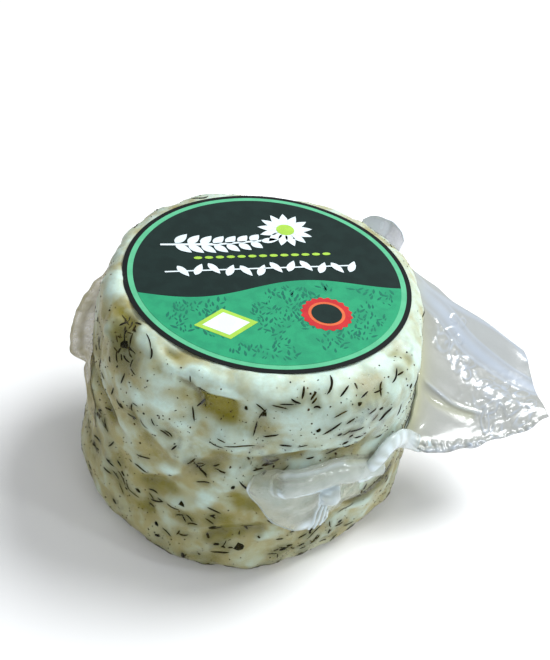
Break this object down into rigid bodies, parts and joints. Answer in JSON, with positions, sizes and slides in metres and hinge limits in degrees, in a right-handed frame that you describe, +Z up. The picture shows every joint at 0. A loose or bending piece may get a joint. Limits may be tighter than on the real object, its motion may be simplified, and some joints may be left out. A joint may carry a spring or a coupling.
{
  "type": "sheep milk cheese",
  "caption": "Small round sheep milk cheese rolled in herbs, vacuum packed in a clear film pouch with a free tail, with a round label on its flat top.",
  "frame": {"origin": "middle of the flat foot, on the wheel's axis", "axes": "+Z up through the label, +X along the film's free tail, -Y the shown front"},
  "size_m": [0.1337, 0.0905, 0.0706],
  "materials": {
    "cheese": "moist white curd with dried green herbs",
    "film": "clear glossy film",
    "label": "smooth printed paper, satin"
  },
  "bodies": {
    "root": {"cheese": "cheese", "film_bag": "film", "label": "label"}
  },
  "joints": []
}
